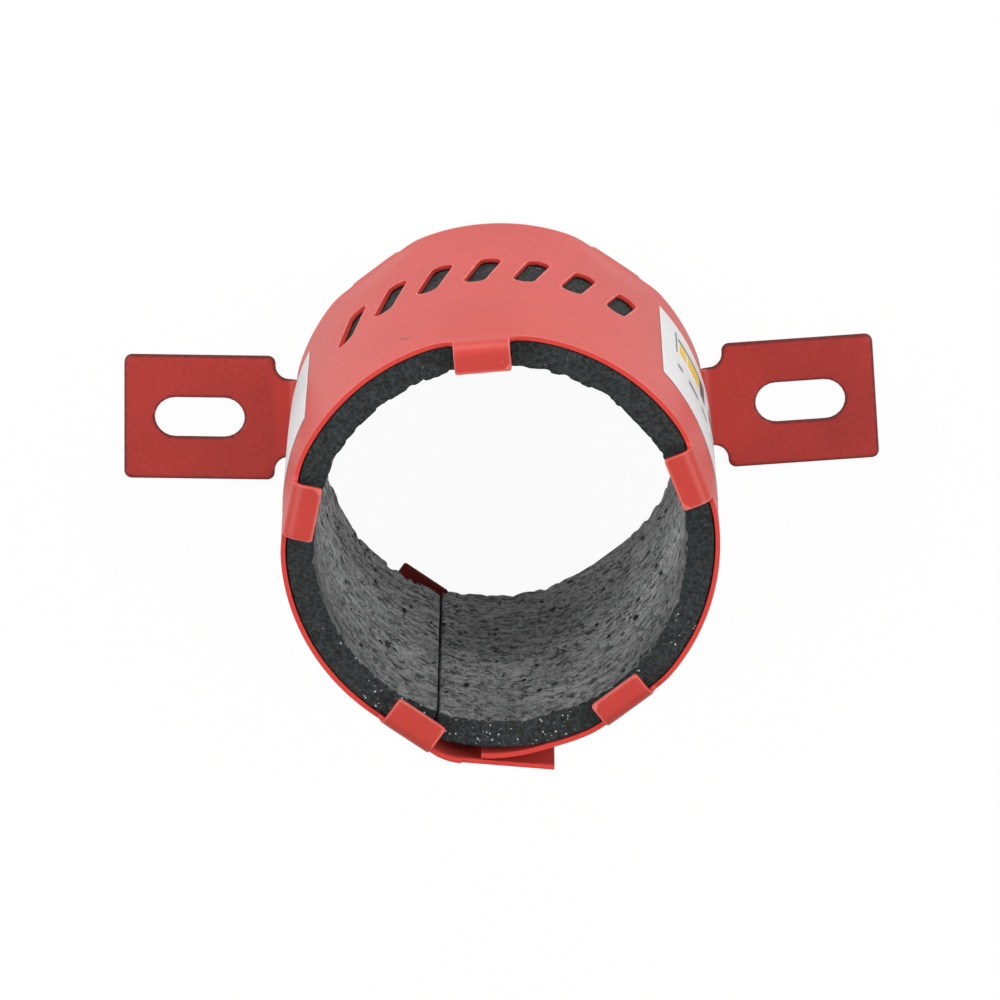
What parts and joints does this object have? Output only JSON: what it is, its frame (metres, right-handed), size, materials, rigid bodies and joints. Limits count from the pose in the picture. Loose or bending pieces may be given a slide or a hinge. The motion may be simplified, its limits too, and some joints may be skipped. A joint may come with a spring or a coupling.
{
  "type": "pipe fire collar",
  "caption": "Pipe fire collar: a folded, painted steel casing with inward tabs and slotted wall ears round an intumescent strip, closed by a lapped tongue.",
  "frame": {"origin": "midway between the two fixing slots, in the plane of the ears that sits on the wall; the pipe's axis is 2 mm from it, towards the closure", "axes": "+Z along the pipe, away from the wall; +X through the two slots; +Y opposite the lapped closure"},
  "size_m": [0.1178, 0.0685, 0.066],
  "materials": {
    "casing": "satin red coating",
    "liner": "rough, pitted grey",
    "label": "matt paper"
  },
  "bodies": {
    "root": {"casing": "casing", "intumescent_liner": "liner", "label_left": "label", "label_right": "label"}
  },
  "joints": []
}
